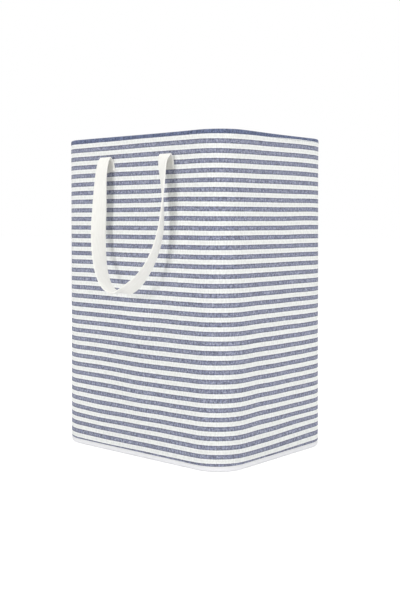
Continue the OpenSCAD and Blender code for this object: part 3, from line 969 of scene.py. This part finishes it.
def strap_half(total, power, curl, flare, splay):
    """Half a strap, sewn end to lowest point: its line, the directions across and along it."""
    fold = [
        (-HALF_SPAN + splay * (CREST - z) * (out < RISE[-2][0]), out, z)
        for out, z in resampled(RISE, 0.7)
    ]
    over, bow_z = RISE[-1][1], FOLD_Z - LOOP_DROP + BOW_H
    tuck = FRONT_D - RISE[-1][0]

    def sprung(z):
        return 1 - math.exp(-((max(FOLD_Z - z, 0) / SPRING_H) ** SPRING_POWER))

    def lean(z):
        hung = max(FOLD_Z - z, 0) / LOOP_DROP
        near = tuck * math.exp((z - over) / PINCH_H)
        return FRONT_D + SPRING_OUT * sprung(z) + LOOP_LEAN * hung**LEAN_POWER - near

    def side(z):
        return -HALF_SPAN - flare * sprung(z)

    start = [(side(z), lean(z), z) for z in np.linspace(over, FOLD_Z, 11)[1:]]
    foot = len(fold) + len(start) - 1
    leg = [(side(z), lean(z), z) for z in np.linspace(FOLD_Z, bow_z, 51)[1:]]
    bow = []
    for a in np.radians(np.linspace(0, 90, 61))[1:]:
        z = bow_z - BOW_H * math.sin(a)
        bow.append((side(z) * math.cos(a), lean(z), z))
    line = np.array(fold + start + leg + bow)
    after = np.vstack([line[1:], line[-2] * [-1, 1, 1]])
    before = np.vstack([line[:1], line[:-1]])
    along = unit(after - before)
    run = runs(line) - runs(line)[foot]
    share = np.clip((run + TWIST_LEAD) / (run[-1] + TWIST_LEAD), 0, 1)
    twist = total * np.sin(math.pi / 2 * share) ** power * ease((run + TWIST_EASE) / TWIST_EASE)
    twist = twist + curl * np.sin(math.pi * share**CURL_POWER) ** 2
    inward = np.column_stack([-along[:, 2], np.zeros(len(line)), along[:, 0]])
    inward[: foot + 1] = (1, 0, 0)
    inward[: foot + 1, 2] = splay * (1 - ease((line[: foot + 1, 1] - STRAP_T / 2) / SLANT_OUT))
    inward = unit(inward)
    lay = inward * np.cos(twist)[:, None]
    lay[:, 1] -= np.sin(twist)
    lay = unit(lay - (lay * along).sum(1, keepdims=True) * along)
    return line, lay, along


def strap(name, turn, total, left, right):
    """A handle strap: two halves, the second mirrored, that turn to lie flat at the bottom."""
    halves = zip(strap_half(total, *left), strap_half(total, *right), (1, 1, -1))
    line, lay, along = [
        np.vstack([first, (second * [-1.0, 1.0, 1.0] * sign)[::-1][1:]])
        for first, second, sign in halves
    ]
    through = unit(np.cross(along, lay))
    line = line + [SHIFT, BAG_W / 2, 0.0]
    face = np.array([1.0, -1.0, 1.0]) * turn
    return ribbon(name, line * face, lay * face, through * face, section(STRAP_W, STRAP_T))


# The box sewn on a strap's end: how far in from the sides, and its heights above the strap's tip
BOX_IN, BOX_LOW, BOX_HIGH = 3, 2, 9


def end_rows(end, splay, turn):
    """Rows of stitching on a strap's sewn end: a box and its two diagonals."""
    left, right = end - STRAP_W / 2 + BOX_IN, end + STRAP_W / 2 - BOX_IN
    low, high = SEWN_Z + BOX_LOW, SEWN_Z + BOX_HIGH
    corners = [(left, low), (right, low), (right, high), (left, high), (left, low)]
    marks = list(zip(corners[:-1], corners[1:]))
    marks += [((left, low), (right, high)), ((right, low), (left, high))]
    out = np.array([0, -1.0, 0]) * turn
    t = np.linspace(0, 1, 12)
    rows = []
    for (x0, z0), (x1, z1) in marks:
        x, z = x0 + (x1 - x0) * t, z0 + (z1 - z0) * t
        y = np.full(len(t), -BAG_W / 2 - STRAP_T - 0.02)
        line = np.column_stack([SHIFT + x + splay * (CREST - z), y, z + splay * (x - end)])
        rows.append((line * turn, np.broadcast_to(out, line.shape)))
    return rows


rows = []
for side, (turn, total, left, right) in STRAPS.items():
    handle = strap("strap_" + side, turn, total, left, right)
    add(handle, WEBBING, "strap", None, "handle_ends_" + side, "handle_strap_" + side)
    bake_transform(handle)
    rows += end_rows(-HALF_SPAN, left[-1], turn) + end_rows(HALF_SPAN, -right[-1], turn)
add(stitches("stitches_handle_ends", rows, STRAP_STITCH), WHITE_THREAD, "strap", "bag")

# Rows of stitching round the rim, outside and inside, and round the base

HEM_ROW_Z, BASE_ROW_Z = HEM_BOTTOM + 2.1, BASE_TOP - 1.9
fine = np.linspace(0, ROUND, 700) + SEAM_S
rows = [on_wall(fine, HEM_ROW_Z, -0.02)]
line, outs = on_wall(fine, HEM_ROW_Z, 2.52)
rows.append((line, -outs))
add(stitches("stitches_hem", rows, HEM_STITCH), BLUE_THREAD, "striped_cloth", "bag")
rows = [on_wall(fine, BASE_ROW_Z, 0.0)]
add(stitches("stitches_base", rows, BASE_STITCH), WHITE_THREAD, "base_cloth", "bag")

# The wire follows the hem; its ends meet in the ferrule at the middle of the back


def rim_tube(name, first, last, count, outer, inner=None):
    """A tube along the hem between two places round the plan; solid if it has no inner radius."""
    s = np.linspace(first, last, count)
    line, outs = on_wall(s, BAG_H - HEM_R, HEM_R)
    if inner is None:
        return ribbon(name, line, outs, UP, arc(outer, 0, 360, 12)[:-1])
    outside, inside = [swept(line, outs, UP, arc(r, 0, 360, 16)[:-1]) for r in (outer, inner)]
    grid = np.vstack([outside, inside[::-1]])
    return loft(name, grid, np.zeros((len(grid) + 1, grid.shape[1] + 1, 2)), closed_rows=True)


first, last = BACK_MIDDLE + WIRE_GAP / 2, BACK_MIDDLE + ROUND - WIRE_GAP / 2
wire = rim_tube("hem_wire", first, last, 420, WIRE_R)
add(wire, STEEL, "spring_steel", "bag", "rim_wire")
first, last = BACK_MIDDLE - FERRULE_L / 2, BACK_MIDDLE + FERRULE_L / 2
crimp = rim_tube("hem_ferrule", first, last, 10, FERRULE_R, FERRULE_BORE)
add(crimp, STEEL, "spring_steel", "bag", "wire_ferrule")

# Rigid pieces keep their CAD shapes


def dress(node, material):
    """Gives a CAD node its material."""
    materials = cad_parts[node].data.materials
    materials.clear()
    materials.append(material)


dress("base_board", BOARD)
for corner in CORNERS:
    dress("support_rod_" + corner, TUBE)
    dress("rod_cap_" + corner, PLUG)
    dress("rod_foot_" + corner, PLUG)

# Floor, light and camera

# The world's light, and the floor: its glow, its share of light and shadow, the white it gives back
AMBIENT = 0.36
GLOW, SHADOW_SHARE, FLOOR_WHITE = 0.74, 0.75, 0.9
FLOOR_HALF = 20.0

# Lamps: azimuth, with 0 in front and 90 on the right, elevation, distance, width, power
LAMPS = {
    "key": (-8, 10, 2.6, 0.7, 20),
    "fill": (91, 20, 2.8, 1.6, 28),
    "back": (212, 26, 2.8, 1.8, 30),
    "top": (20, 76, 2.6, 1.6, 28),
}
LAMP_AIM = Vector((0.0, 0.0, 0.3))

# The photo's camera: place, direction backwards from its aim, focal length and sensor width
CAMERA_AT, CAMERA_BACK = (1.2519, -1.4101, 0.4400), (0.6566, -0.7497, 0.0822)
CAMERA_LENS, CAMERA_SENSOR = 57.135, 36.0


def by_ray(tree, output, lights, shows):
    """Ends a tree in a shader that lights things and one that camera, gloss and glass see."""
    path = tree.node("LightPath").outputs
    seen = tree.math("MAXIMUM", path["Is Camera Ray"], path["Is Glossy Ray"])
    seen = tree.math("MAXIMUM", seen, path["Is Transmission Ray"])
    choice = tree.node("MixShader", {0: seen, 1: lights, 2: shows})
    tree.node(output, {0: choice.outputs[0]})


def white_world():
    """A world that looks white and lights the bag with less."""
    world = bpy.data.worlds.new("studio")
    tree = Tree(world)
    tree.nodes.clear()
    lights, shows = [
        tree.node("Background", {"Color": (1, 1, 1, 1), "Strength": strength}).outputs[0]
        for strength in (AMBIENT, 1.0)
    ]
    by_ray(tree, "OutputWorld", lights, shows)
    return world


def white_floor():
    """A floor that looks white except for the bag's shadow."""
    white = bpy.data.materials.new("floor_white")
    tree = Tree(white)
    tree.nodes.clear()
    bounce, matt = [
        tree.node("BsdfDiffuse", {"Color": (level, level, level, 1)}).outputs[0]
        for level in (FLOOR_WHITE, SHADOW_SHARE)
    ]
    glow = tree.node("Emission", {"Strength": GLOW}).outputs[0]
    by_ray(tree, "OutputMaterial", bounce, tree.node("AddShader", {0: glow, 1: matt}).outputs[0])
    plan = np.array([(-1, -1, 0), (1, -1, 0), (1, 1, 0), (-1, 1, 0)]) * FLOOR_HALF
    sheet = bpy.data.meshes.new("floor")
    sheet.from_pydata(plan.tolist(), [], [(0, 1, 2, 3)])
    sheet.materials.append(white)
    return bpy.data.objects.new("floor", sheet)


def soft_light(name, azimuth, elevation, distance, width, power):
    """A square soft light that faces the bag."""
    a, e = math.radians(azimuth), math.radians(elevation)
    away = Vector((math.sin(a) * math.cos(e), -math.cos(a) * math.cos(e), math.sin(e)))
    lamp = bpy.data.lights.new(name, "AREA")
    lamp.shape = "SQUARE"
    lamp.size = width
    lamp.energy = power
    obj = bpy.data.objects.new(name, lamp)
    obj.location = LAMP_AIM + away * distance
    obj.rotation_euler = away.to_track_quat("Z", "Y").to_euler()
    return obj


scene = bpy.context.scene
scene.world = white_world()

floor = white_floor()
scene.collection.objects.link(floor)

for name, settings in LAMPS.items():
    scene.collection.objects.link(soft_light(name, *settings))

lens = bpy.data.cameras.new("camera")
lens.lens = CAMERA_LENS
lens.sensor_width = CAMERA_SENSOR
camera = bpy.data.objects.new("camera", lens)
camera.location = CAMERA_AT
camera.rotation_euler = Vector(CAMERA_BACK).to_track_quat("Z", "Y").to_euler()
scene.collection.objects.link(camera)
scene.camera = camera
scene.view_settings.view_transform = "Standard"
